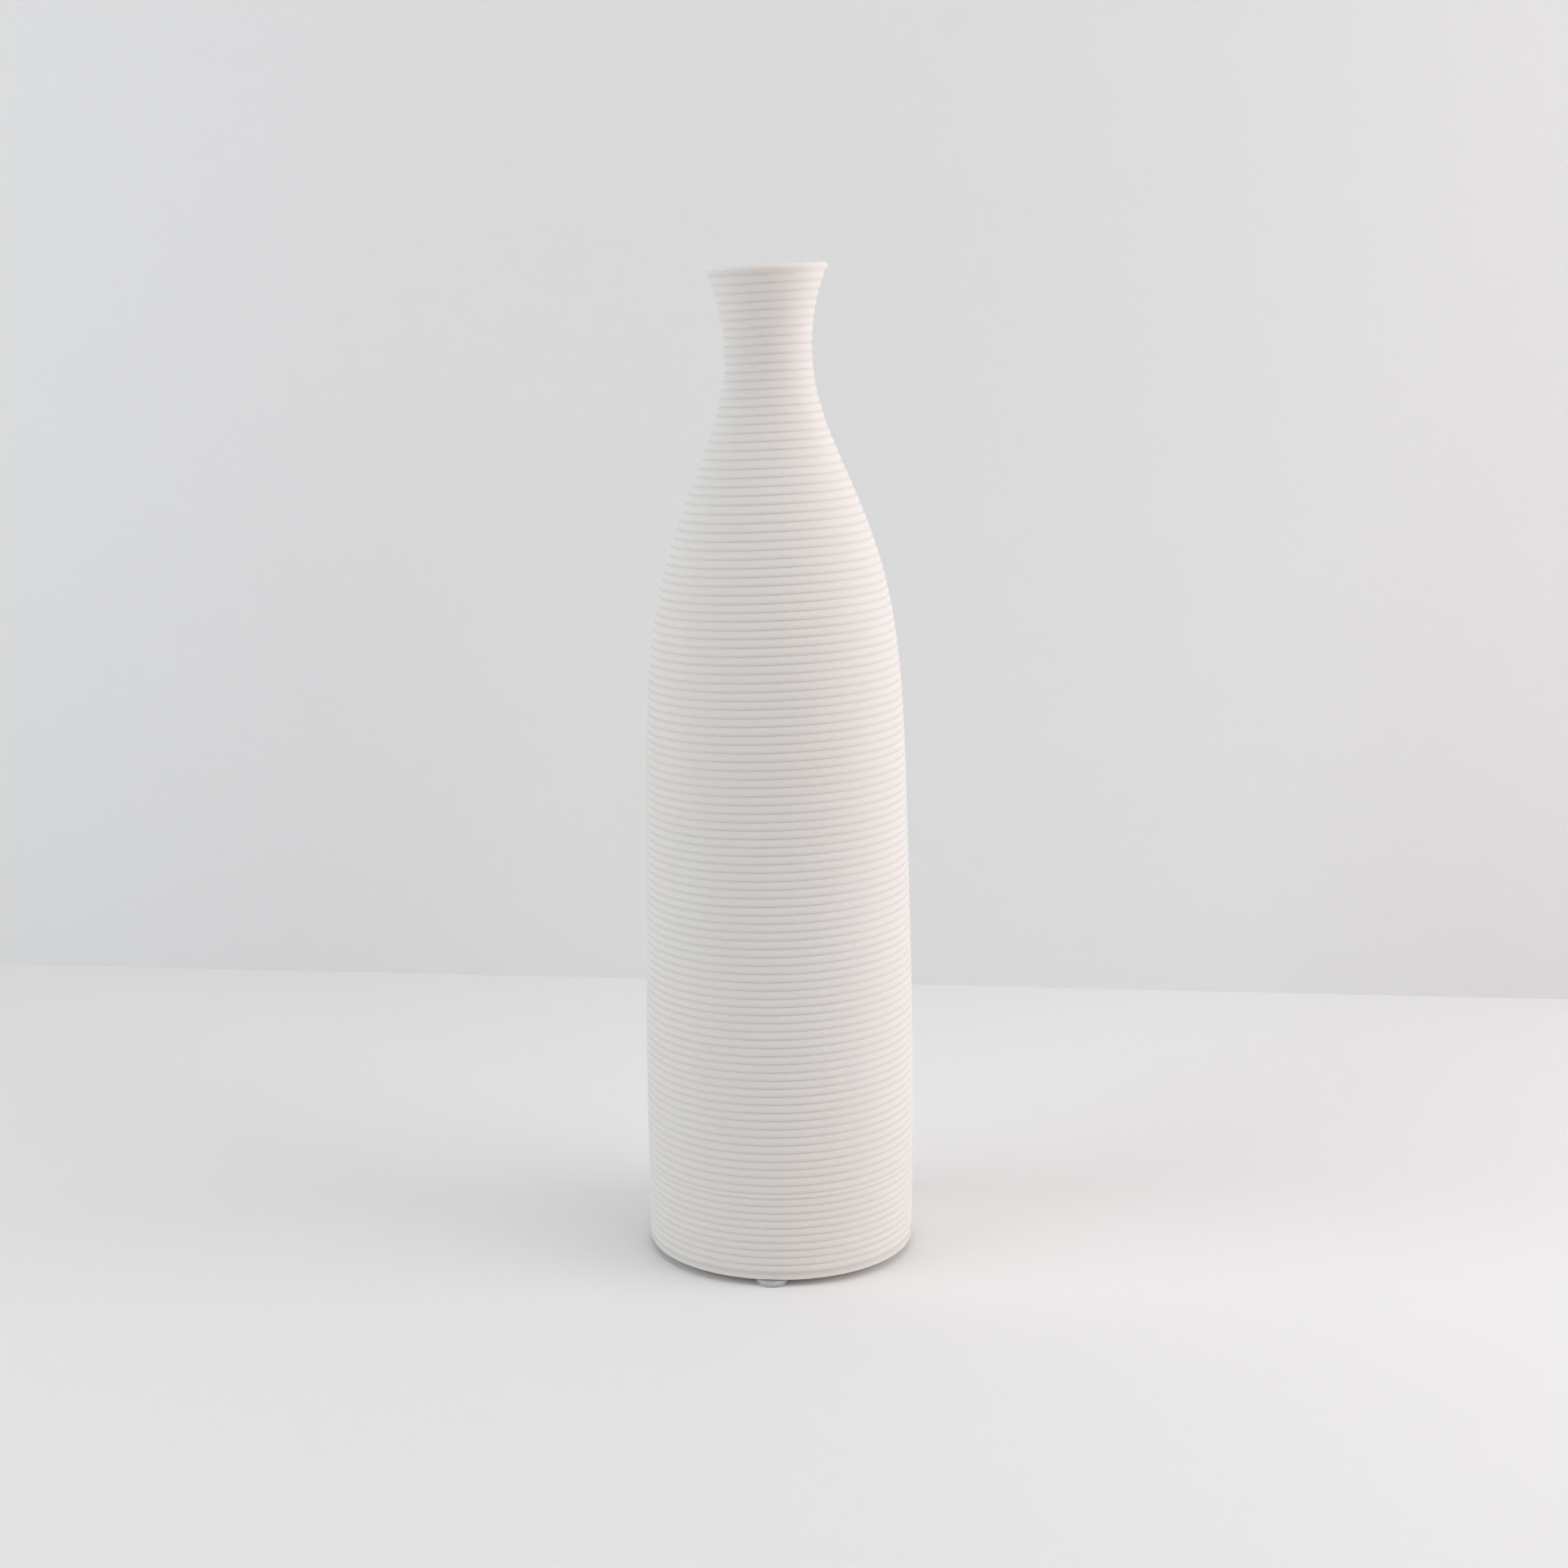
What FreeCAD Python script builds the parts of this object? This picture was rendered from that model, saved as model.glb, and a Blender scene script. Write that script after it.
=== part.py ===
import FreeCAD, Part
import math
import os
from types import SimpleNamespace

import Sketcher
from FreeCAD import Vector

# A tall ribbed bud vase: one fired ceramic piece standing on three clear bumper pads.
# The outside of the wall is a stack of thin rounded layers, and the inside is smooth.
# The vase warped a little in the kiln: its sections stay round, but they drift towards
# -X and tip over as they rise.
# Millimetres. Origin on the floor under the middle of the foot, +Z up, front towards -Y.

DRIVING_SIZES = [
    # the ceramic piece, measured up from its foot
    ("ceramic_height", 288.0),
    ("wall", 3.4),
    ("lip_thickness", 2.4),
    ("floor_thickness", 7.0),
    ("cavity_corner_radius", 9.0),
    ("foot_edge_radius", 0.8),
    # the outline that the layer crests touch
    ("foot_height", 0.0),
    ("foot_radius", 39.6),
    ("belly_height", 45.0),
    ("belly_radius", 40.0),
    ("flank_height", 130.0),
    ("flank_radius", 38.5),
    ("shoulder_height", 174.0),
    ("shoulder_radius", 36.6),
    ("slope_top_height", 200.0),
    ("slope_top_radius", 32.4),
    ("slope_middle_height", 219.0),
    ("slope_middle_radius", 26.2),
    ("slope_foot_height", 236.0),
    ("slope_foot_radius", 19.2),
    ("neck_height", 250.0),
    ("neck_radius", 14.4),
    ("throat_height", 264.0),
    ("throat_radius", 12.7),
    ("flare_height", 277.0),
    ("flare_radius", 14.1),
    ("lip_height", 288.0),
    ("lip_radius", 17.5),
    # the layers: one near the foot is squeezed, and those below it are a little thinner
    ("layer_count", 120),
    ("groove_depth", 0.4),
    ("squeezed_layer", 11),
    ("squeezed_layer_share", 0.66),
    ("low_layer_share", 0.94),
    # the kiln warp at the lip, and how fast it grows up the vase
    ("lip_shift", 4.3),
    ("shift_growth", 1.45),
    ("lip_tilt_degrees", 3.3),
    ("tilt_growth", 0.75),
    # the bumper pads and the adhesive discs that hold them
    ("pad_radius", 4.75),
    ("pad_rim_height", 1.0),
    ("pad_contact_radius", 4.2),
    ("pad_stand_height", 2.0),
    ("pad_circle_radius", 35.6),
    ("pad_turn_degrees", -4.2),
    ("adhesive_radius", 4.4),
    ("adhesive_thickness", 0.2),
]

OUTLINE_STATIONS = [
    "foot",
    "belly",
    "flank",
    "shoulder",
    "slope_top",
    "slope_middle",
    "slope_foot",
    "neck",
    "throat",
    "flare",
    "lip",
]

# One layer's rounded face: share of the layer's height, share of the groove's depth.
LAYER_FACE = [(0.0, 1.0), (0.2, 0.2), (0.5, 0.0), (0.8, 0.2)]

LIP_STEPS = 8
CORNER_STEPS = 6
CAVITY_RING_SPACING = 4.0

PAD_PLACES = ["front", "back_right", "back_left"]
DEGREES_BETWEEN_PADS = 360 / len(PAD_PLACES)


def make_sheet(doc):
    """Put the driving sizes in a spreadsheet, one named cell each."""
    sheet = doc.addObject("Spreadsheet::Sheet", "Sizes")
    for row, (alias, value) in enumerate(DRIVING_SIZES, start=1):
        sheet.set(f"A{row}", alias)
        sheet.set(f"B{row}", str(value))
        sheet.setAlias(f"B{row}", alias)
    doc.recompute()
    return sheet


def read_sheet(sheet):
    """Read every named cell back as a number."""
    return SimpleNamespace(**{alias: float(sheet.get(alias)) for alias, _ in DRIVING_SIZES})


def crest_curve(size):
    """Return a curve whose value at a height has the crest radius as its X."""
    heights = [getattr(size, f"{station}_height") for station in OUTLINE_STATIONS]
    radii = [getattr(size, f"{station}_radius") for station in OUTLINE_STATIONS]
    curve = Part.BSplineCurve()
    curve.interpolate(Points=[Vector(radius, 0, 0) for radius in radii], Parameters=heights)
    return curve


def layer_joints(size):
    """Return the heights of the grooves between the layers, with both ends."""
    shares = [1.0] * int(size.layer_count)
    squeezed = int(size.squeezed_layer)
    shares[:squeezed] = [size.low_layer_share] * squeezed
    shares[squeezed] = size.squeezed_layer_share
    unit = size.ceramic_height / sum(shares)
    joints = [0.0]
    for share in shares:
        joints.append(joints[-1] + share * unit)
    return joints


def foot_edge(size):
    """Return the height and radius of each ring round the foot's rounded edge."""
    edge = size.foot_edge_radius
    rings = []
    for step in range(CORNER_STEPS + 1):
        angle = math.pi / 2 * step / CORNER_STEPS
        rings.append((edge * (1 - math.cos(angle)), size.foot_radius - edge * (1 - math.sin(angle))))
    return rings


def layered_face(size, crest):
    """Return the height and radius of each ring up the ribbed outside."""
    joints = layer_joints(size)
    rings = []
    for bottom, top in zip(joints[1:-2], joints[2:-1]):
        for height_share, depth_share in LAYER_FACE:
            height = bottom + height_share * (top - bottom)
            rings.append((height, crest.value(height).x - depth_share * size.groove_depth))
    rings.append((joints[-2], crest.value(joints[-2]).x - size.groove_depth))
    return rings


def rounded_lip(size):
    """Return the height and radius of each ring over the lip, from outside to inside."""
    half = size.lip_thickness / 2
    rings = []
    for step in range(LIP_STEPS + 1):
        angle = math.pi * step / LIP_STEPS
        height = size.ceramic_height - half * (1 - math.sin(angle))
        rings.append((height, size.lip_radius - half * (1 - math.cos(angle))))
    return rings


def cavity_radius(size, crest, height):
    """Return the inside radius, with the wall thinning from the throat to the lip."""
    rise = max(0.0, height - size.throat_height) / (size.lip_height - size.throat_height)
    wall = size.wall - rise * (size.wall - size.lip_thickness)
    return crest.value(height).x - wall


def cavity_face(size, crest):
    """Return the height and radius of each ring down the smooth inside."""
    start = size.ceramic_height - size.lip_thickness
    corner = size.cavity_corner_radius
    corner_top = size.floor_thickness + corner
    count = math.ceil((start - corner_top) / CAVITY_RING_SPACING)
    rings = []
    for step in range(count + 1):
        height = start + (corner_top - start) * step / count
        rings.append((height, cavity_radius(size, crest, height)))
    flat_radius = rings[-1][1] - corner
    for step in range(1, CORNER_STEPS + 1):
        angle = math.pi / 2 * step / CORNER_STEPS
        rings.append((corner_top - corner * math.sin(angle), flat_radius + corner * math.cos(angle)))
    return rings


def warped_ring(size, height, radius):
    """Return one round section where the kiln warp leaves it."""
    share = height / size.ceramic_height
    shift = size.lip_shift * share**size.shift_growth
    tilt = math.radians(size.lip_tilt_degrees) * share**size.tilt_growth
    normal = Vector(-math.sin(tilt), 0, math.cos(tilt))
    circle = Part.Circle(Vector(-shift, 0, height), normal, radius)
    return Part.Wire([circle.toShape()])


def make_vase_body(doc, size):
    """Build the ceramic piece as one skin: up the outside, over the lip, down the inside.

    Its sections tip and drift one by one, which neither a revolved sketch nor a primitive
    does, so the skin is lofted ring by ring.
    """
    crest = crest_curve(size)
    outline = foot_edge(size) + layered_face(size, crest) + rounded_lip(size)
    outline += cavity_face(size, crest)
    rings = [warped_ring(size, height, radius) for height, radius in outline]
    closed_by_end_faces = True
    ruled_between_rings = True
    vase = doc.addObject("Part::Feature", "VaseBody")
    vase.Label = "vase_body"
    vase.Shape = Part.makeLoft(rings, closed_by_end_faces, ruled_between_rings)
    vase.setExpression("Placement.Base.z", "Sizes.pad_stand_height")
    return vase


def origin_plane(body, role):
    """Return one of the body's own origin planes."""
    return next(plane for plane in body.Origin.OriginFeatures if plane.Role == role)


def attached_sketch(body, name, role):
    """Make a sketch on one of the body's own origin planes."""
    sketch = body.newObject("Sketcher::SketchObject", name)
    sketch.AttachmentSupport = [(origin_plane(body, role), "")]
    sketch.MapMode = "FlatFace"
    return sketch


def bind(sketch, constraint, expression):
    """Add a constraint and bind its value to the sheet."""
    index = sketch.addConstraint(constraint)
    sketch.setExpression(f"Constraints[{index}]", expression)


def stand_on_pad_circle(body, place_number, height):
    """Place a body on the pad circle, counted round from the front, at a bound height."""
    angle = f"(Sizes.pad_turn_degrees + {place_number * DEGREES_BETWEEN_PADS}) * 1 deg"
    body.setExpression("Placement.Base.x", f"Sizes.pad_circle_radius * sin({angle})")
    body.setExpression("Placement.Base.y", f"-Sizes.pad_circle_radius * cos({angle})")
    body.setExpression("Placement.Base.z", height)


def domed_side(size):
    """Return the arc up a pad's side, centred on the pad's own axis."""
    contact = size.pad_contact_radius
    centre_height = (size.pad_radius**2 + size.pad_rim_height**2 - contact**2)
    centre_height /= 2 * size.pad_rim_height
    sphere_radius = math.hypot(contact, centre_height)
    circle = Part.Circle(Vector(0, centre_height, 0), Vector(0, 0, 1), sphere_radius)
    start = math.atan2(-centre_height, contact)
    end = math.atan2(size.pad_rim_height - centre_height, size.pad_radius)
    return Part.ArcOfCircle(circle, start, end)


def make_pad(doc, size, place, place_number):
    """Revolve one bumper pad: a flat contact, a domed side, a short rim and a flat top."""
    body = doc.addObject("PartDesign::Body", f"Pad_{place}")
    body.Label = f"{place}_bumper_pad"
    profile = attached_sketch(body, f"PadProfile_{place}", "XZ_Plane")
    pad_height = size.pad_stand_height - size.adhesive_thickness
    contact_middle = Vector(0, 0, 0)
    contact_edge = Vector(size.pad_contact_radius, 0, 0)
    rim_bottom = Vector(size.pad_radius, size.pad_rim_height, 0)
    rim_top = Vector(size.pad_radius, pad_height, 0)
    top_middle = Vector(0, pad_height, 0)
    contact = profile.addGeometry(Part.LineSegment(contact_middle, contact_edge))
    dome = profile.addGeometry(domed_side(size))
    rim = profile.addGeometry(Part.LineSegment(rim_bottom, rim_top))
    top = profile.addGeometry(Part.LineSegment(rim_top, top_middle))
    middle = profile.addGeometry(Part.LineSegment(top_middle, contact_middle))
    loop = [contact, dome, rim, top, middle]
    for line, next_line in zip(loop, loop[1:] + loop[:1]):
        profile.addConstraint(Sketcher.Constraint("Coincident", line, 2, next_line, 1))
    profile.addConstraint(Sketcher.Constraint("Coincident", contact, 1, -1, 1))
    profile.addConstraint(Sketcher.Constraint("PointOnObject", dome, 3, -2))
    profile.addConstraint(Sketcher.Constraint("Horizontal", contact))
    profile.addConstraint(Sketcher.Constraint("Vertical", rim))
    profile.addConstraint(Sketcher.Constraint("Horizontal", top))
    profile.addConstraint(Sketcher.Constraint("Vertical", middle))
    contact_reach = Sketcher.Constraint("DistanceX", contact, 1, contact, 2, contact_edge.x)
    rim_reach = Sketcher.Constraint("DistanceX", -1, 1, rim, 1, rim_bottom.x)
    rim_start = Sketcher.Constraint("DistanceY", -1, 1, rim, 1, rim_bottom.y)
    rim_end = Sketcher.Constraint("DistanceY", -1, 1, rim, 2, rim_top.y)
    bind(profile, contact_reach, "Sizes.pad_contact_radius")
    bind(profile, rim_reach, "Sizes.pad_radius")
    bind(profile, rim_start, "Sizes.pad_rim_height")
    bind(profile, rim_end, "Sizes.pad_stand_height - Sizes.adhesive_thickness")
    turned = body.newObject("PartDesign::Revolution", f"PadTurned_{place}")
    turned.Profile = profile
    turned.ReferenceAxis = (profile, ["V_Axis"])
    turned.Angle = 360
    profile.Visibility = False
    stand_on_pad_circle(body, place_number, "0")
    return body


def make_adhesive(doc, size, place, place_number):
    """Pad out the thin adhesive disc between one bumper pad and the foot."""
    body = doc.addObject("PartDesign::Body", f"Adhesive_{place}")
    body.Label = f"{place}_adhesive_disc"
    outline = attached_sketch(body, f"AdhesiveOutline_{place}", "XY_Plane")
    circle = Part.Circle(Vector(0, 0, 0), Vector(0, 0, 1), size.adhesive_radius)
    edge = outline.addGeometry(circle)
    outline.addConstraint(Sketcher.Constraint("Coincident", edge, 3, -1, 1))
    edge_radius = Sketcher.Constraint("Radius", edge, size.adhesive_radius)
    bind(outline, edge_radius, "Sizes.adhesive_radius")
    disc = body.newObject("PartDesign::Pad", f"AdhesiveDisc_{place}")
    disc.Profile = outline
    disc.setExpression("Length", "Sizes.adhesive_thickness")
    outline.Visibility = False
    stand_on_pad_circle(body, place_number, "Sizes.pad_stand_height - Sizes.adhesive_thickness")
    return body


def check_document(doc, pieces):
    """Stop if any object failed to build or any piece isn't one sound solid."""
    for item in doc.Objects:
        if "Invalid" in item.State or "Error" in item.State:
            raise RuntimeError(f"{item.Label} failed: {item.State}")
    for piece in pieces:
        if piece.Shape.isNull() or not piece.Shape.isValid() or piece.Shape.Volume <= 0:
            raise RuntimeError(f"{piece.Label} is not a sound solid")


def main():
    """Build the document, check it and write one STEP file per piece."""
    doc = FreeCAD.newDocument("BudVase")
    sheet = make_sheet(doc)
    size = read_sheet(sheet)
    pieces = [make_vase_body(doc, size)]
    for place_number, place in enumerate(PAD_PLACES):
        pieces.append(make_pad(doc, size, place, place_number))
        pieces.append(make_adhesive(doc, size, place, place_number))
    doc.recompute()
    check_document(doc, pieces)
    os.makedirs("parts", exist_ok=True)
    for piece in pieces:
        piece.Shape.exportStep(f"parts/{piece.Label}.step")
        print(piece.Label, round(piece.Shape.Volume, 1), piece.Shape.BoundBox)


main()
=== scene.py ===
"""A tall ribbed ceramic bud vase on three clear bumper pads, dressed around its frame.

Sizes are in metres. The vase stands on the floor at the origin, with its front towards -Y.
"""

import logging
import math
import random
from dataclasses import dataclass, field
from enum import Enum

import bpy
import numpy as np
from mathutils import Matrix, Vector, noise


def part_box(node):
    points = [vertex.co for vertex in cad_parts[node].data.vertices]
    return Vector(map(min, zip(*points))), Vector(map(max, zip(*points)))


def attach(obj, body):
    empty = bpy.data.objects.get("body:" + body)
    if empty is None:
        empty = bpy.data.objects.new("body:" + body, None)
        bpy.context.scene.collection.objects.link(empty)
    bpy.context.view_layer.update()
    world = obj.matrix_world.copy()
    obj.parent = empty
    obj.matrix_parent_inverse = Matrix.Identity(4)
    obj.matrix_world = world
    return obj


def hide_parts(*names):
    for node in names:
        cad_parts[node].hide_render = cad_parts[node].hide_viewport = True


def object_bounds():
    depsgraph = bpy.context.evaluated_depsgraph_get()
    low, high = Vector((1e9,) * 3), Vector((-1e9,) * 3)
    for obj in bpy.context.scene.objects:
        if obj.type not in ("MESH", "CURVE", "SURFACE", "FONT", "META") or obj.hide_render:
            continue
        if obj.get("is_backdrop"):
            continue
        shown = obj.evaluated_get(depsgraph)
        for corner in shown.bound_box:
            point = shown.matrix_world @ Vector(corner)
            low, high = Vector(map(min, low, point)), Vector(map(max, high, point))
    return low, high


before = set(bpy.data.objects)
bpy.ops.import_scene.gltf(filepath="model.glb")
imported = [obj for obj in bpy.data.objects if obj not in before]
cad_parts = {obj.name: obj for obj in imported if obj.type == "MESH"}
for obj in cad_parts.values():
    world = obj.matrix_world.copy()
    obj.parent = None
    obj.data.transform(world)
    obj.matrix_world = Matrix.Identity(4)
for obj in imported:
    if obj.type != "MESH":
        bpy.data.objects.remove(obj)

MM = 0.001
ROOT = "root"
WHITE = (1.0, 1.0, 1.0, 1.0)

log = logging.getLogger("bud_vase")


class Slot(Enum):
    """The record's material slots."""

    CERAMIC = "ceramic_body"
    PAD = "clear_pad"
    ADHESIVE = "clear_adhesive"


class PadPlace(Enum):
    """Where a bumper pad sits under the foot."""

    FRONT = "front"
    BACK_RIGHT = "back_right"
    BACK_LEFT = "back_left"


class Mask(Enum):
    """Numbers that a mesh carries on its points for its finish to read."""

    # How deep a point sits in a groove; the ceramic finish paints shade by it.
    GROOVE = "groove"
    GLAZED = "glazed"
    CONTACT = "contact"


@dataclass(frozen=True)
class Ring:
    """One round row of a turned surface.

    Args:
        height: height of the row's middle, in metres.
        radius: radius of the row, in metres.
        masks: value of each mask on the row's points.
    """

    height: float
    radius: float
    masks: dict[Mask, float] = field(default_factory=dict)


class SmoothCurve:
    """A natural cubic curve through a few stations."""

    def __init__(self, places: list[float], values: list[float]) -> None:
        """Solve the curve's bends.

        Args:
            places: rising places along the curve.
            values: the curve's value at each place.
        """
        self.places = np.array(places)
        self.values = np.array(values)
        steps = np.diff(self.places)
        slopes = np.diff(self.values) / steps
        count = len(places)
        matrix = np.eye(count)
        right = np.zeros(count)
        for i in range(1, count - 1):
            matrix[i, i - 1 : i + 2] = steps[i - 1], 2 * (steps[i - 1] + steps[i]), steps[i]
            right[i] = 6 * (slopes[i] - slopes[i - 1])
        self.bends = np.linalg.solve(matrix, right)

    def at(self, place: float) -> float:
        """Read the curve.

        Args:
            place: where along the curve; held inside its ends.

        Returns:
            The curve's value there.
        """
        place = min(max(place, self.places[0]), self.places[-1])
        i = min(int(np.searchsorted(self.places, place, side="right")) - 1, len(self.places) - 2)
        step = self.places[i + 1] - self.places[i]
        before, after = place - self.places[i], self.places[i + 1] - place
        bend_before, bend_after = self.bends[i], self.bends[i + 1]
        arch = (bend_before * after**3 + bend_after * before**3) / (6 * step)
        line_before = (self.values[i] / step - bend_before * step / 6) * after
        line_after = (self.values[i + 1] / step - bend_after * step / 6) * before
        return float(arch + line_before + line_after)


def rounded(start: float, end: float, count: int) -> list[float]:
    """Divide a turn evenly.

    Args:
        start: first angle, in radians.
        end: last angle, in radians.
        count: number of steps.

    Returns:
        The angles, both ends included.
    """
    return [start + (end - start) * step / count for step in range(count + 1)]


def turned_mesh(name: str, rings: list[Ring], points: np.ndarray) -> bpy.types.Object:
    """Skin rows of points into a closed piece, with a middle point at each end.

    Args:
        name: the new piece's name.
        rings: the rows, from one end to the other.
        points: array of rows by columns by three coordinates.

    Returns:
        The new object, smooth shaded, with its masks stored on its points.
    """
    rows, columns = points.shape[:2]
    vertices = points.reshape(-1, 3).tolist()
    vertices += [points[0].mean(axis=0).tolist(), points[-1].mean(axis=0).tolist()]
    first_middle, last_middle = rows * columns, rows * columns + 1
    faces = []
    for row in range(rows - 1):
        for column in range(columns):
            beside = (column + 1) % columns
            low, high = row * columns, (row + 1) * columns
            faces.append((low + column, low + beside, high + beside, high + column))
    top = (rows - 1) * columns
    for column in range(columns):
        beside = (column + 1) % columns
        faces.append((first_middle, beside, column))
        faces.append((last_middle, top + column, top + beside))
    mesh = bpy.data.meshes.new(name)
    mesh.from_pydata(vertices, [], faces)
    mesh.polygons.foreach_set("use_smooth", [True] * len(faces))
    for mask in sorted({key for ring in rings for key in ring.masks}, key=lambda key: key.value):
        values = [ring.masks.get(mask, 0.0) for ring in rings for _ in range(columns)]
        values += [rings[0].masks.get(mask, 0.0), rings[-1].masks.get(mask, 0.0)]
        mesh.attributes.new(mask.value, "FLOAT", "POINT").data.foreach_set("value", values)
    mesh.update()
    piece = bpy.data.objects.new(name, mesh)
    bpy.context.scene.collection.objects.link(piece)
    return piece


def put_in_place(piece: bpy.types.Object, node: str, finish: bpy.types.Material) -> None:
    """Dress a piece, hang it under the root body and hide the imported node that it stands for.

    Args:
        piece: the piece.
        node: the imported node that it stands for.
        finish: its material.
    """
    piece.data.materials.clear()
    piece.data.materials.append(finish)
    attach(piece, ROOT)
    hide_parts(node)


class Graph:
    """A short way to lay out shader nodes in a material or a group."""

    def __init__(self, tree: bpy.types.NodeTree) -> None:
        """Work on a node tree, from empty.

        Args:
            tree: the node tree.
        """
        self.tree = tree
        self.output: bpy.types.Node | None = None
        self.tree.nodes.clear()

    def add(self, kind: str, inputs: dict | None = None, **settings: object) -> bpy.types.Node:
        """Add a node.

        Args:
            kind: the node's type, without the leading "ShaderNode".
            inputs: value or output socket for each input, by its name or number.
            **settings: attributes of the node.

        Returns:
            The node.
        """
        prefix = "" if kind.startswith("NodeGroup") else "ShaderNode"
        node = self.tree.nodes.new(prefix + kind)
        for key, value in settings.items():
            setattr(node, key, value)
        for key, value in (inputs or {}).items():
            if isinstance(value, bpy.types.NodeSocket):
                self.tree.links.new(value, node.inputs[key])
            else:
                node.inputs[key].default_value = value
        return node

    def math(self, operation: str, first: object, second: object = 0.0) -> bpy.types.NodeSocket:
        """Combine two numbers and return the result's socket."""
        return self.add("Math", {0: first, 1: second}, operation=operation).outputs[0]

    def noise(self, vector: object, scale: float, detail: float = 3.0) -> bpy.types.NodeSocket:
        """Add a noise over a vector and return its height's socket."""
        inputs = {"Vector": vector, "Scale": scale, "Detail": detail}
        return self.add("TexNoise", inputs).outputs["Fac"]

    def span(self, value: object, low: float, high: float) -> bpy.types.NodeSocket:
        """Map 0..1 onto low..high and return the result's socket."""
        return self.add("MapRange", {"Value": value, "To Min": low, "To Max": high}).outputs[0]

    def mix(self, share: object, first: object, second: object) -> bpy.types.NodeSocket:
        """Mix two colours by a share and return the result's socket."""
        node = self.add("Mix", {0: share, 6: first, 7: second}, data_type="RGBA")
        return node.outputs[2]

    def mask(self, mask: Mask) -> bpy.types.NodeSocket:
        """Read one of the mesh's masks and return its socket."""
        return self.add("Attribute", attribute_name=mask.value).outputs["Fac"]


def effect_group(name: str, numbers: dict[str, float], outputs: list[str]) -> bpy.types.NodeTree:
    """Make an empty shader node group with named number sockets.

    Args:
        name: the group's name.
        numbers: each input's name and its usual value.
        outputs: the outputs' names.

    Returns:
        The group's node tree, with no nodes in it yet.
    """
    group = bpy.data.node_groups.new(name, "ShaderNodeTree")
    group.interface.new_socket("Vector", in_out="INPUT", socket_type="NodeSocketVector")
    for socket_name, usual in numbers.items():
        socket = group.interface.new_socket(
            socket_name, in_out="INPUT", socket_type="NodeSocketFloat"
        )
        socket.default_value = usual
    for socket_name in outputs:
        group.interface.new_socket(socket_name, in_out="OUTPUT", socket_type="NodeSocketFloat")
    return group


class Effects:
    """The node groups that more than one finish uses, each built once."""

    def __init__(self) -> None:
        """Build every group."""
        self.grain = self._grain()
        self.clouding = self._clouding()

    @staticmethod
    def _grain() -> bpy.types.NodeTree:
        """Fine mineral grain: a height with pits, and a mask of the pits.

        Returns:
            The group.
        """
        group = effect_group(
            "fine_grain", {"Grain Scale": 1600.0, "Pit Scale": 900.0, "Pit Depth": 0.5}, ["Height", "Pits"]
        )
        graph = Graph(group)
        given = graph.add("NodeGroupInput").outputs
        fine = graph.add("TexNoise", {"Vector": given["Vector"], "Scale": given["Grain Scale"], "Detail": 4.0})
        cells = graph.add("TexVoronoi", {"Vector": given["Vector"], "Scale": given["Pit Scale"]})
        near = graph.add(
            "MapRange", {"Value": cells.outputs["Distance"], "From Min": 0.06, "From Max": 0.22}
        )
        chosen = graph.add("SeparateColor", {"Color": cells.outputs["Color"]}).outputs["Red"]
        rare = graph.math("GREATER_THAN", chosen, 0.82)
        pits = graph.math("MULTIPLY", graph.math("SUBTRACT", 1.0, near.outputs[0]), rare)
        sunk = graph.math("MULTIPLY", pits, given["Pit Depth"])
        height = graph.math("SUBTRACT", fine.outputs["Fac"], sunk)
        graph.add("NodeGroupOutput", {"Height": height, "Pits": pits})
        return group

    @staticmethod
    def _clouding() -> bpy.types.NodeTree:
        """Soft uneven patches, broad and small together.

        Returns:
            The group.
        """
        group = effect_group("clouding", {"Broad Scale": 12.0, "Small Scale": 90.0}, ["Cloud"])
        graph = Graph(group)
        given = graph.add("NodeGroupInput").outputs
        broad = graph.add("TexNoise", {"Vector": given["Vector"], "Scale": given["Broad Scale"], "Detail": 2.0})
        small = graph.add("TexNoise", {"Vector": given["Vector"], "Scale": given["Small Scale"], "Detail": 3.0})
        total = graph.math("ADD", broad.outputs["Fac"], graph.math("MULTIPLY", small.outputs["Fac"], 0.5))
        cloud = graph.math("DIVIDE", total, 1.5)
        graph.add("NodeGroupOutput", {"Cloud": cloud})
        return group


def new_material(name: str) -> tuple[bpy.types.Material, Graph, bpy.types.Node]:
    """Start a node material with a Principled shader on its output.

    Args:
        name: the material's name.

    Returns:
        The material, its graph and the Principled node.
    """
    material = bpy.data.materials.new(name)
    material.use_nodes = True
    graph = Graph(material.node_tree)
    shader = graph.add("BsdfPrincipled")
    graph.output = graph.add("OutputMaterial", {"Surface": shader.outputs[0]})
    return material, graph, shader


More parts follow.
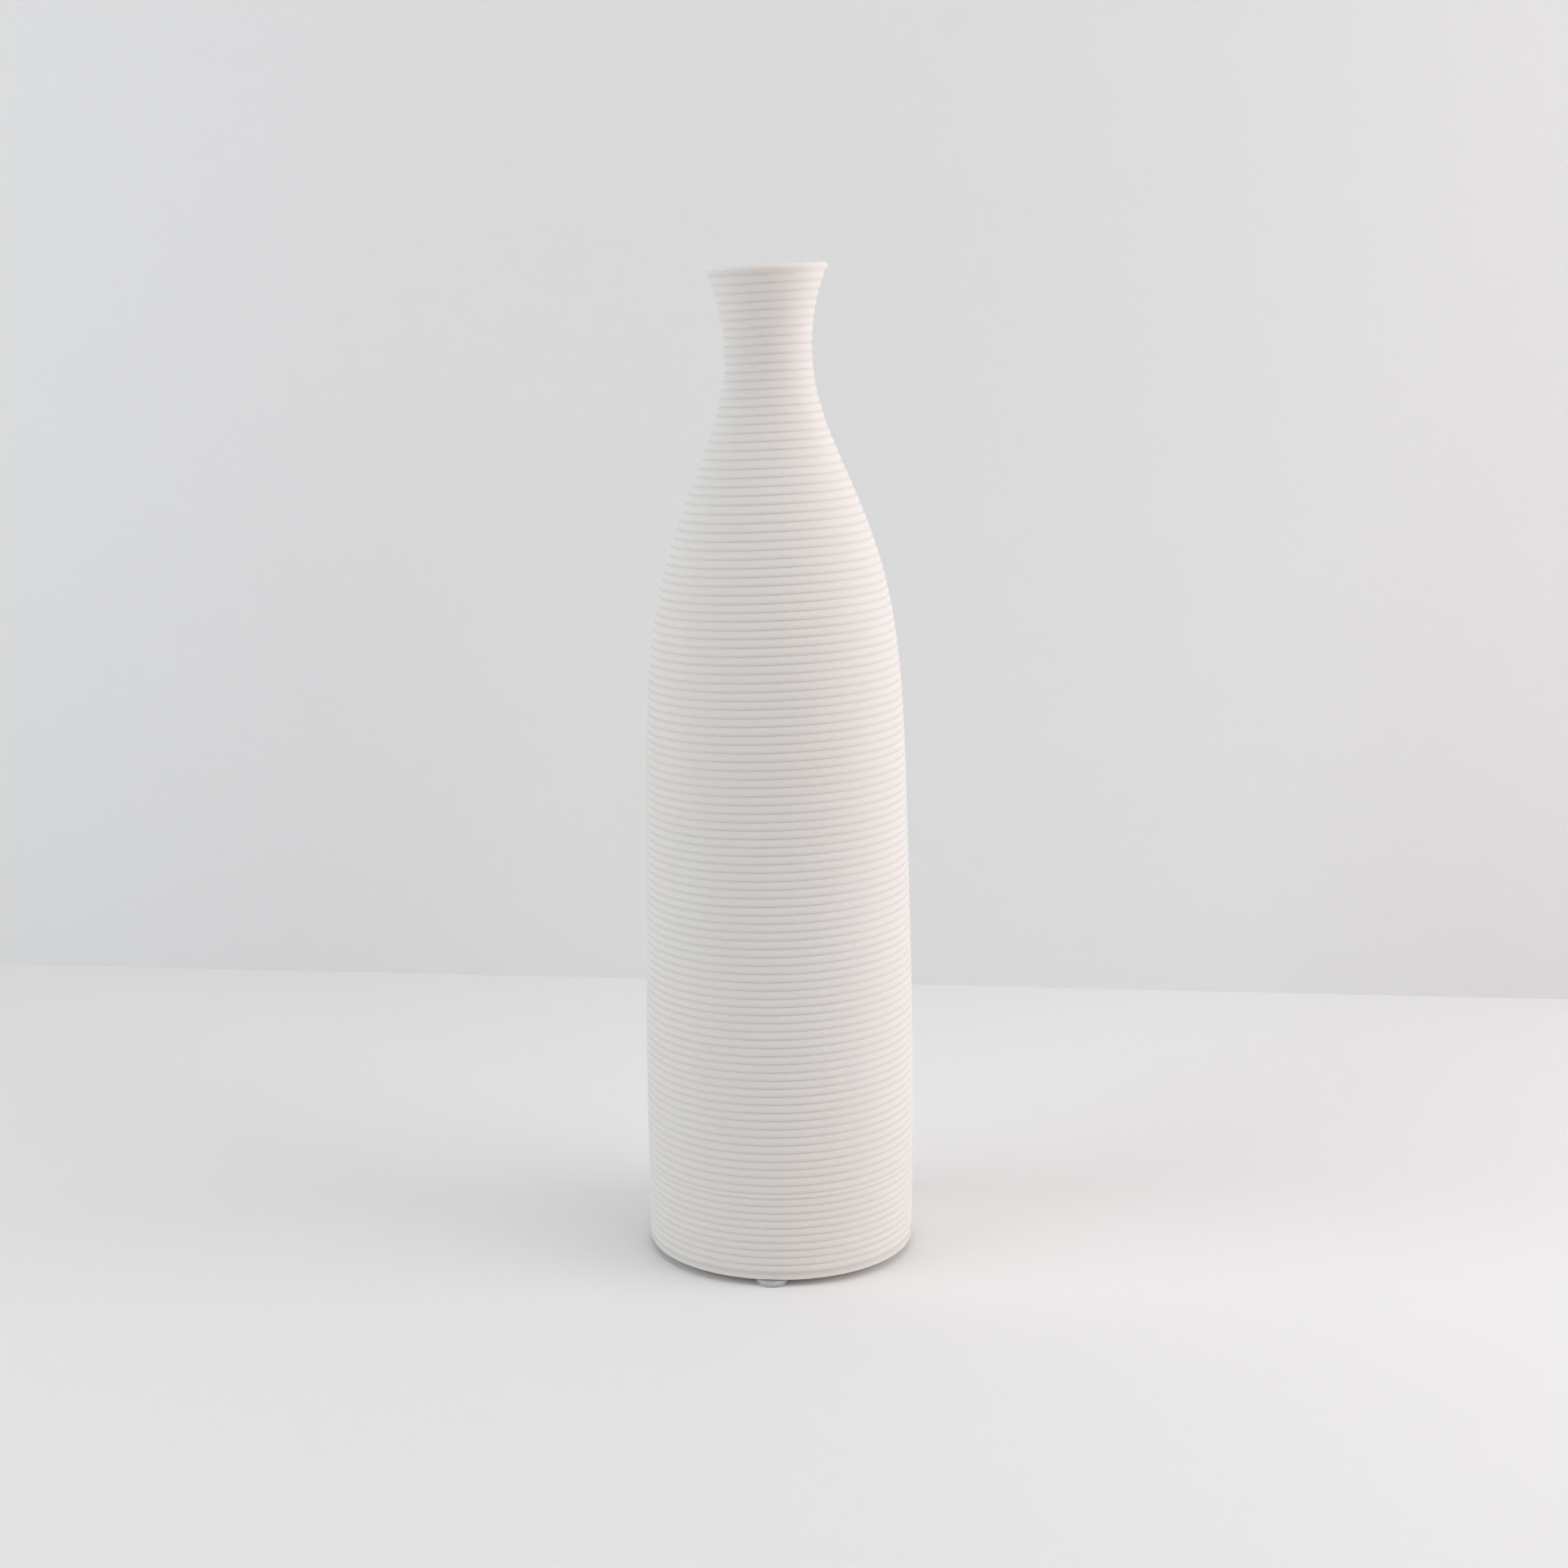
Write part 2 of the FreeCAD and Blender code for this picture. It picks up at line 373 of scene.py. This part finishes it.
@dataclass(frozen=True)
class CeramicFinish:
    """Matt fired clay outside, with a thin clear glaze inside, and painted shade in the grooves and pits.

    Args:
        clay: the clay's colour.
        warm_clay: the colour of warmer patches left by the kiln.
        painted_shade_colour: painted shade, mixed into the grooves between the layers and into the grain's
            pits.
        glaze: the glazed inside's colour.
    """

    clay: tuple[float, float, float, float] = (0.80, 0.775, 0.75, 1.0)
    warm_clay: tuple[float, float, float, float] = (0.82, 0.775, 0.735, 1.0)
    painted_shade_colour: tuple[float, float, float, float] = (0.70, 0.665, 0.635, 1.0)
    glaze: tuple[float, float, float, float] = (0.83, 0.82, 0.80, 1.0)
    # How much of the painted shade colour goes into the bottom of each groove.
    groove_shade_share: float = 0.65
    drag_stretch: tuple[float, float, float] = (30.0, 30.0, 1500.0)
    matt_roughness: tuple[float, float] = (0.72, 0.86)
    glaze_roughness: float = 0.22
    bump_distance: float = 0.00012

    def material(self, effects: Effects) -> bpy.types.Material:
        """Build the material.

        Args:
            effects: the shared node groups.

        Returns:
            The material.
        """
        material, graph, shader = new_material("matt_ceramic")
        place = graph.add("TexCoord").outputs["Object"]
        grain = graph.add("Group", node_tree=effects.grain)
        graph.tree.links.new(place, grain.inputs["Vector"])
        clouding = graph.add("Group", node_tree=effects.clouding)
        graph.tree.links.new(place, clouding.inputs["Vector"])
        stretched = graph.add("Mapping", {"Vector": place, "Scale": self.drag_stretch})
        drag = graph.noise(stretched.outputs[0], 1.0, 2.0)

        patch = graph.add(
            "MapRange", {"Value": clouding.outputs["Cloud"], "From Min": 0.4, "From Max": 0.6}
        ).outputs[0]
        colour = graph.mix(patch, self.clay, self.warm_clay)
        # Painted shade: the colour darkens towards the bottom of each groove between the layers.
        groove_shade = graph.math("MULTIPLY", graph.mask(Mask.GROOVE), self.groove_shade_share)
        colour = graph.mix(groove_shade, colour, self.painted_shade_colour)
        # Painted shade: the grain's pits are darkened with the same shade colour.
        pit_shade = graph.math("MULTIPLY", grain.outputs["Pits"], 0.5)
        colour = graph.mix(pit_shade, colour, self.painted_shade_colour)
        glazed = graph.mask(Mask.GLAZED)
        colour = graph.mix(glazed, colour, self.glaze)

        matt = graph.span(drag, *self.matt_roughness)
        gloss_drop = graph.math("MULTIPLY", glazed, self.matt_roughness[0] - self.glaze_roughness)
        roughness = graph.math("SUBTRACT", matt, gloss_drop)

        streaks = graph.math("MULTIPLY", drag, 0.35)
        height = graph.math("ADD", grain.outputs["Height"], streaks)
        unglazed = graph.span(glazed, 1.0, 0.15)
        height = graph.math("MULTIPLY", height, unglazed)
        bump = graph.add("Bump", {"Height": height, "Strength": 0.6, "Distance": self.bump_distance})

        graph.tree.links.new(colour, shader.inputs["Base Color"])
        graph.tree.links.new(roughness, shader.inputs["Roughness"])
        graph.tree.links.new(bump.outputs[0], shader.inputs["Normal"])
        shader.inputs["IOR"].default_value = 1.48
        return material


@dataclass(frozen=True)
class ClearPadFinish:
    """Clear, slightly blue polyurethane with a scuffed contact."""

    tint: tuple[float, float, float, float] = (0.93, 0.95, 0.97, 1.0)
    cloudy_tint: tuple[float, float, float, float] = (0.88, 0.91, 0.94, 1.0)
    polished_roughness: float = 0.12
    scuffed_roughness: float = 0.45
    clearness: float = 0.45

    def material(self, effects: Effects) -> bpy.types.Material:
        """Build the material.

        Args:
            effects: the shared node groups.

        Returns:
            The material.
        """
        material, graph, shader = new_material("clear_polyurethane")
        place = graph.add("TexCoord").outputs["Object"]
        clouding = graph.add("Group", node_tree=effects.clouding)
        graph.tree.links.new(place, clouding.inputs["Vector"])
        clouding.inputs["Broad Scale"].default_value = 180.0
        clouding.inputs["Small Scale"].default_value = 900.0
        grain = graph.add("Group", node_tree=effects.grain)
        graph.tree.links.new(place, grain.inputs["Vector"])
        colour = graph.mix(clouding.outputs["Cloud"], self.tint, self.cloudy_tint)
        scuff = graph.mask(Mask.CONTACT)
        roughness = graph.span(scuff, self.polished_roughness, self.scuffed_roughness)
        height = graph.math("MULTIPLY", grain.outputs["Height"], graph.span(scuff, 0.1, 1.0))
        bump = graph.add("Bump", {"Height": height, "Strength": 0.4, "Distance": 0.00005})
        graph.tree.links.new(colour, shader.inputs["Base Color"])
        graph.tree.links.new(roughness, shader.inputs["Roughness"])
        graph.tree.links.new(bump.outputs[0], shader.inputs["Normal"])
        shader.inputs["IOR"].default_value = 1.48
        shader.inputs["Transmission Weight"].default_value = self.clearness
        return material


@dataclass(frozen=True)
class AdhesiveFinish:
    """A clear adhesive film, milky where air is caught under it."""

    film: tuple[float, float, float, float] = (0.82, 0.84, 0.84, 1.0)
    bubble: tuple[float, float, float, float] = (0.93, 0.94, 0.94, 1.0)

    def material(self, effects: Effects) -> bpy.types.Material:
        """Build the material.

        Args:
            effects: the shared node groups.

        Returns:
            The material.
        """
        material, graph, shader = new_material("adhesive_film")
        place = graph.add("TexCoord").outputs["Object"]
        grain = graph.add("Group", node_tree=effects.grain)
        graph.tree.links.new(place, grain.inputs["Vector"])
        colour = graph.mix(grain.outputs["Pits"], self.film, self.bubble)
        roughness = graph.span(grain.outputs["Height"], 0.25, 0.5)
        bump = graph.add(
            "Bump", {"Height": grain.outputs["Height"], "Strength": 0.3, "Distance": 0.00003}
        )
        graph.tree.links.new(colour, shader.inputs["Base Color"])
        graph.tree.links.new(roughness, shader.inputs["Roughness"])
        graph.tree.links.new(bump.outputs[0], shader.inputs["Normal"])
        shader.inputs["IOR"].default_value = 1.47
        shader.inputs["Transmission Weight"].default_value = 0.6
        return material


@dataclass(frozen=True)
class PaperFinish:
    """Matt studio paper for the floor and the wall behind.

    Args:
        name: the material's name.
        colour: the paper's colour.
        one_sided: true if the paper is clear from behind, so that the vase's back can be seen.
    """

    name: str
    colour: tuple[float, float, float, float]
    one_sided: bool = False

    def material(self, effects: Effects) -> bpy.types.Material:
        """Build the material.

        Args:
            effects: the shared node groups.

        Returns:
            The material.
        """
        material, graph, shader = new_material(self.name)
        if self.one_sided:
            clear = graph.add("BsdfTransparent").outputs[0]
            behind = graph.add("NewGeometry").outputs["Backfacing"]
            seen = graph.add("MixShader", {0: behind, 1: shader.outputs[0], 2: clear})
            graph.tree.links.new(seen.outputs[0], graph.output.inputs["Surface"])
        place = graph.add("TexCoord").outputs["Object"]
        clouding = graph.add("Group", node_tree=effects.clouding)
        graph.tree.links.new(place, clouding.inputs["Vector"])
        roughness = graph.span(clouding.outputs["Cloud"], 0.88, 0.96)
        graph.tree.links.new(roughness, shader.inputs["Roughness"])
        shader.inputs["Base Color"].default_value = self.colour
        shader.inputs["Specular IOR Level"].default_value = 0.1
        return material


@dataclass
class VaseBody:
    """The ceramic piece: a stack of rounded layers outside and a smooth cavity inside.

    Heights are measured up from the foot. The kiln left every section round, but the
    sections drift towards -X and tip over as they rise.
    """

    node: str = "vase_body"
    height: float = 288.0 * MM
    wall: float = 3.4 * MM
    lip_thickness: float = 2.4 * MM
    floor_thickness: float = 7.0 * MM
    cavity_corner: float = 9.0 * MM
    foot_edge: float = 0.8 * MM
    outline: tuple[tuple[float, float], ...] = (
        (0.0, 39.6),
        (45.0, 40.0),
        (130.0, 38.5),
        (174.0, 36.6),
        (200.0, 32.4),
        (219.0, 26.2),
        (236.0, 19.2),
        (250.0, 14.4),
        (264.0, 12.7),
        (277.0, 14.1),
        (288.0, 17.5),
    )
    throat_height: float = 264.0 * MM
    layers: int = 120
    groove_depth: float = 0.4 * MM
    squeezed_layer: int = 11
    squeezed_share: float = 0.66
    low_layer_share: float = 0.94
    lip_shift: float = 4.3 * MM
    shift_growth: float = 1.45
    lip_tilt: float = math.radians(3.3)
    tilt_growth: float = 0.75
    columns: int = 112
    layer_rows: tuple[float, ...] = (0.0, 0.07, 0.22, 0.5, 0.78, 0.93)
    cavity_row_spacing: float = 4.0 * MM
    layer_jitter: float = 0.03
    crest_jitter: float = 0.03 * MM
    wobble: float = 0.02 * MM
    seed: int = 7

    def __post_init__(self) -> None:
        """Work out the crest curve and the layers' joints."""
        heights = [height * MM for height, _ in self.outline]
        radii = [radius * MM for _, radius in self.outline]
        self.crest = SmoothCurve(heights, radii)
        self.chance = random.Random(self.seed)
        self.joints = self._layer_joints()

    def _layer_joints(self) -> list[float]:
        """Return the heights between the layers, from foot to lip."""
        shares = []
        for layer in range(self.layers):
            share = self.low_layer_share if layer < self.squeezed_layer else 1.0
            share = self.squeezed_share if layer == self.squeezed_layer else share
            shares.append(share * (1 + self.chance.uniform(-1, 1) * self.layer_jitter))
        unit = self.height / sum(shares)
        joints = [0.0]
        for share in shares:
            joints.append(joints[-1] + share * unit)
        return joints

    def _foot_rings(self) -> list[Ring]:
        """Return the rows across the flat underside and round the foot's edge."""
        flat = self.outline[0][1] * MM - self.foot_edge
        rings = [Ring(0.0, flat * share) for share in (0.25, 0.5, 0.75)]
        for angle in rounded(0, math.pi / 2, 5):
            height = self.foot_edge * (1 - math.cos(angle))
            rings.append(Ring(height, flat + self.foot_edge * math.sin(angle)))
        return rings

    def _layer_rings(self) -> list[Ring]:
        """Return the rows up the layered outside, each layer rounded like a bead."""
        rings = []
        for low, high in zip(self.joints[1:-2], self.joints[2:-1]):
            swell = self.chance.uniform(-1, 0) * self.crest_jitter
            for share in self.layer_rows:
                sink = 1 - math.sqrt(1 - (2 * share - 1) ** 2)
                height = low + share * (high - low)
                radius = self.crest.at(height) - sink * self.groove_depth + swell * (1 - sink)
                # The groove's sink also sets how much shade the ceramic finish paints there.
                rings.append(Ring(height, radius, {Mask.GROOVE: sink}))
        last = self.joints[-2]
        rings.append(Ring(last, self.crest.at(last) - self.groove_depth, {Mask.GROOVE: 1.0}))
        return rings

    def _lip_rings(self) -> list[Ring]:
        """Return the rows over the rounded lip."""
        half = self.lip_thickness / 2
        lip_radius = self.outline[-1][1] * MM
        rings = []
        for angle in rounded(0, math.pi, 12):
            height = self.height - half * (1 - math.sin(angle))
            radius = lip_radius - half * (1 - math.cos(angle))
            glazed = max(0.0, -math.cos(angle))
            rings.append(Ring(height, radius, {Mask.GLAZED: glazed}))
        return rings

    def _cavity_radius(self, height: float) -> float:
        """Return the inside radius, with the wall thinning from the throat to the lip."""
        rise = max(0.0, height - self.throat_height) / (self.height - self.throat_height)
        return self.crest.at(height) - self.wall + rise * (self.wall - self.lip_thickness)

    def _cavity_rings(self) -> list[Ring]:
        """Return the rows down the glazed inside, round its corner and across its floor."""
        glazed = {Mask.GLAZED: 1.0}
        start = self.height - self.lip_thickness
        corner_top = self.floor_thickness + self.cavity_corner
        count = math.ceil((start - corner_top) / self.cavity_row_spacing)
        rings = []
        for step in range(count + 1):
            height = start + (corner_top - start) * step / count
            rings.append(Ring(height, self._cavity_radius(height), glazed))
        flat = rings[-1].radius - self.cavity_corner
        for angle in rounded(0, math.pi / 2, 8)[1:]:
            height = corner_top - self.cavity_corner * math.sin(angle)
            rings.append(Ring(height, flat + self.cavity_corner * math.cos(angle), glazed))
        rings += [Ring(self.floor_thickness, flat * share, glazed) for share in (0.7, 0.35)]
        return rings

    def _warped(self, rings: list[Ring], foot_level: float) -> np.ndarray:
        """Place every row where the kiln warp leaves it.

        Args:
            rings: the rows.
            foot_level: height of the foot above the floor.

        Returns:
            Array of rows by columns by three coordinates.
        """
        angles = np.arange(self.columns) * 2 * math.pi / self.columns
        across, along = np.cos(angles), np.sin(angles)
        points = np.empty((len(rings), self.columns, 3))
        for row, ring in enumerate(rings):
            share = max(ring.height, 0.0) / self.height
            shift = self.lip_shift * share**self.shift_growth
            tilt = self.lip_tilt * share**self.tilt_growth
            radii = np.full(self.columns, ring.radius)
            if not ring.masks.get(Mask.GLAZED):
                radii -= self._unevenness(ring, across, along)
            points[row, :, 0] = radii * across * math.cos(tilt) - shift
            points[row, :, 1] = radii * along
            points[row, :, 2] = foot_level + ring.height + radii * across * math.sin(tilt)
        return points

    def _unevenness(self, ring: Ring, across: np.ndarray, along: np.ndarray) -> np.ndarray:
        """Return how far each point of a row sinks below the true round.

        Args:
            ring: the row.
            across: each column's share of the radius along X.
            along: each column's share of the radius along Y.

        Returns:
            The sink of each point, never negative.
        """
        places = zip(across * ring.radius * 60, along * ring.radius * 60)
        level = ring.height * 400
        lows = [noise.noise(Vector((x, y, level))) for x, y in places]
        return (np.array(lows) + 1) / 2 * self.wobble * 2

    def build(self, finish: bpy.types.Material) -> bpy.types.Object:
        """Build and dress the piece.

        Args:
            finish: its material.

        Returns:
            The piece.
        """
        foot_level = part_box(self.node)[0].z
        rings = self._foot_rings() + self._layer_rings() + self._lip_rings() + self._cavity_rings()
        piece = turned_mesh("ribbed_vase", rings, self._warped(rings, foot_level))
        put_in_place(piece, self.node, finish)
        return piece


@dataclass
class BumperPad:
    """A moulded clear pad: domed side, flat scuffed contact and a short straight rim."""

    place: PadPlace
    columns: int = 64
    contact_share: float = 4.2 / 4.75
    rim_share: float = 1.0 / 1.8
    flash: float = 0.05 * MM
    top_edge: float = 0.25 * MM

    def _rings(self, radius: float, height: float) -> list[Ring]:
        """Return the rows from the contact, up the dome and rim, to the flat top.

        Args:
            radius: the pad's radius.
            height: the pad's height.

        Returns:
            The rows.
        """
        contact = radius * self.contact_share
        rim = height * self.rim_share
        centre = (radius**2 + rim**2 - contact**2) / (2 * rim)
        sphere = math.hypot(contact, centre)
        start = math.asin(contact / sphere)
        end = math.pi - math.asin(radius / sphere) if rim > centre else math.asin(radius / sphere)
        rings = [Ring(0.0, contact * share, {Mask.CONTACT: 1.0}) for share in (0.3, 0.6, 0.9)]
        for step, angle in enumerate(rounded(start, end, 14)):
            scuff = max(0.0, 1 - step / 4)
            level = centre - sphere * math.cos(angle)
            rings.append(Ring(max(level, 0.0), sphere * math.sin(angle), {Mask.CONTACT: scuff}))
        inner = radius - self.flash
        rings.append(Ring(rim + 0.15 * (height - rim), inner))
        rings.append(Ring(height - self.top_edge, inner))
        for angle in rounded(0, math.pi / 2, 4)[1:]:
            level = height - self.top_edge * (1 - math.sin(angle))
            rings.append(Ring(level, inner - self.top_edge * (1 - math.cos(angle))))
        rings += [Ring(height, radius * share) for share in (0.6, 0.3)]
        return rings

    def build(self, finish: bpy.types.Material) -> bpy.types.Object:
        """Build and dress the pad.

        Args:
            finish: its material.

        Returns:
            The piece.
        """
        node = f"{self.place.value}_bumper_pad"
        low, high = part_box(node)
        middle = (low + high) / 2
        radius = (high.x - low.x) / 2
        rings = self._rings(radius, high.z - low.z)
        angles = np.arange(self.columns) * 2 * math.pi / self.columns
        points = np.empty((len(rings), self.columns, 3))
        for row, ring in enumerate(rings):
            points[row, :, 0] = middle.x + ring.radius * np.cos(angles)
            points[row, :, 1] = middle.y + ring.radius * np.sin(angles)
            points[row, :, 2] = low.z + ring.height
        piece = turned_mesh(f"{self.place.value}_pad", rings, points)
        put_in_place(piece, node, finish)
        return piece


@dataclass
class AdhesiveDisc:
    """The thin adhesive film between a pad and the foot, with a slightly wavy cut edge."""

    place: PadPlace
    columns: int = 64
    edge_wave: float = 0.03 * MM
    edge_round: float = 0.05 * MM

    def build(self, finish: bpy.types.Material) -> bpy.types.Object:
        """Build and dress the disc.

        Args:
            finish: its material.

        Returns:
            The piece.
        """
        node = f"{self.place.value}_adhesive_disc"
        low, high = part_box(node)
        middle = (low + high) / 2
        radius = (high.x - low.x) / 2
        thickness = high.z - low.z
        inner = radius - self.edge_round
        levels = (0.0, self.edge_round, thickness - self.edge_round, thickness)
        rings = [
            Ring(0.0, inner * 0.5),
            Ring(levels[0], inner),
            Ring(levels[1], radius),
            Ring(levels[2], radius),
            Ring(levels[3], inner),
            Ring(thickness, inner * 0.5),
        ]
        angles = np.arange(self.columns) * 2 * math.pi / self.columns
        wave = self.edge_wave * (1 + np.sin(5 * angles) * np.cos(2 * angles)) / 2
        points = np.empty((len(rings), self.columns, 3))
        for row, ring in enumerate(rings):
            radii = ring.radius - wave
            points[row, :, 0] = middle.x + radii * np.cos(angles)
            points[row, :, 1] = middle.y + radii * np.sin(angles)
            points[row, :, 2] = low.z + ring.height
        piece = turned_mesh(f"{self.place.value}_adhesive", rings, points)
        put_in_place(piece, node, finish)
        return piece


@dataclass
class SoftLight:
    """One rectangular studio light aimed at the vase."""

    name: str
    place: tuple[float, float, float]
    size: tuple[float, float]
    power: float
    colour: tuple[float, float, float]

    def build(self, target: Vector) -> bpy.types.Object:
        """Make the light and aim it.

        Args:
            target: the point it faces.

        Returns:
            The light.
        """
        data = bpy.data.lights.new(self.name, "AREA")
        data.shape = "RECTANGLE"
        data.size, data.size_y = self.size
        data.energy = self.power
        data.color = self.colour
        light = bpy.data.objects.new(self.name, data)
        light.location = self.place
        light.rotation_euler = (target - light.location).to_track_quat("-Z", "Y").to_euler()
        bpy.context.scene.collection.objects.link(light)
        return light


@dataclass
class Studio:
    """The pale floor, the wall behind, the lights and the camera."""

    floor_radius: float = 1.15
    wall_width: float = 2.2
    wall_height: float = 1.8
    wall_distance: float = 0.285
    wall_turn: float = math.radians(-4.8)
    ambient: float = 0.03
    far_brightness: float = 0.7
    camera_height: float = 0.2801
    camera_distance: float = 0.7069
    camera_pitch: float = math.radians(11.158)
    camera_yaw: float = math.radians(-0.069)
    lens: float = 56.24
    lights: tuple[SoftLight, ...] = (
        SoftLight("right_window", (0.95, -0.25, 0.55), (0.8, 0.9), 7.4, (1.0, 0.95, 0.955)),
        SoftLight("front_window", (0.75, -0.9, 0.5), (0.6, 0.6), 1.7, (1.0, 0.95, 0.955)),
        SoftLight("left_window", (-0.9, -0.4, 0.5), (0.8, 0.9), 6.2, (0.93, 0.97, 1.0)),
        SoftLight("ceiling", (0.0, -0.25, 1.4), (0.7, 0.7), 4.6, (1.0, 1.0, 1.0)),
    )

    @staticmethod
    def _sheet(
        name: str, corners: list[tuple[float, float, float]], finish: bpy.types.Material
    ) -> bpy.types.Object:
        """Make one sheet of studio paper, lying flat.

        Args:
            name: the sheet's name.
            corners: its corners, anticlockwise from above.
            finish: its material.

        Returns:
            The sheet.
        """
        mesh = bpy.data.meshes.new(name)
        mesh.from_pydata(corners, [], [tuple(range(len(corners)))])
        mesh.materials.append(finish)
        sheet = bpy.data.objects.new(name, mesh)
        bpy.context.scene.collection.objects.link(sheet)
        sheet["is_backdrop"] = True
        return sheet

    def build(self, effects: Effects) -> None:
        """Set up the whole studio.

        Args:
            effects: the shared node groups.
        """
        floor_paper = PaperFinish("floor_paper", (0.825, 0.825, 0.82, 1.0))
        wall_paper = PaperFinish("wall_paper", (0.78, 0.78, 0.78, 1.0), one_sided=True)
        turns = rounded(0, 2 * math.pi, 96)[:-1]
        disc = [(self.floor_radius * math.cos(turn), self.floor_radius * math.sin(turn), 0) for turn in turns]
        self._sheet("studio_floor", disc, floor_paper.material(effects))
        half, top = self.wall_width / 2, self.wall_height
        upright = [(-half, 0, 0), (half, 0, 0), (half, top, 0), (-half, top, 0)]
        wall = self._sheet("studio_wall", upright, wall_paper.material(effects))
        wall.rotation_euler = (math.pi / 2, 0, self.wall_turn)
        wall.location = (0, self.wall_distance, 0)
        self._world()
        low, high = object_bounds()
        for light in self.lights:
            light.build((low + high) / 2)
        self._camera()

    def _world(self) -> None:
        """Fill the studio with a dim even light, which looks pale beyond the paper."""
        world = bpy.data.worlds.new("studio_air")
        bpy.context.scene.world = world
        world.use_nodes = True
        graph = Graph(world.node_tree)
        dim = graph.add("Background", {"Color": WHITE, "Strength": self.ambient})
        pale = graph.add("Background", {"Color": WHITE, "Strength": self.far_brightness})
        seen = graph.add("LightPath").outputs["Is Camera Ray"]
        mixed = graph.add("MixShader", {0: seen, 1: dim.outputs[0], 2: pale.outputs[0]})
        graph.add("OutputWorld", {"Surface": mixed.outputs[0]})

    def _camera(self) -> None:
        """Put the camera level with the lip, looking a little down at the vase."""
        data = bpy.data.cameras.new("studio_camera")
        data.sensor_width = 36.0
        data.lens = self.lens
        camera = bpy.data.objects.new("studio_camera", data)
        camera.location = (0, -self.camera_distance, self.camera_height)
        camera.rotation_euler = (math.pi / 2 - self.camera_pitch, 0, self.camera_yaw)
        bpy.context.scene.collection.objects.link(camera)
        bpy.context.scene.camera = camera


def main() -> None:
    """Build the vase, its pads and their adhesive, then the studio around them."""
    logging.basicConfig(level=logging.INFO, format="%(name)s: %(message)s")
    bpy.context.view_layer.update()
    bpy.context.scene.view_settings.view_transform = "Standard"
    effects = Effects()
    ceramic = CeramicFinish().material(effects)
    clear_pad = ClearPadFinish().material(effects)
    film = AdhesiveFinish().material(effects)
    built = [VaseBody().build(ceramic)]
    for place in PadPlace:
        built.append(BumperPad(place).build(clear_pad))
        built.append(AdhesiveDisc(place).build(film))
    for piece in built:
        log.info("%s: %d faces", piece.name, len(piece.data.polygons))
    Studio().build(effects)


if __name__ == "__main__":
    main()
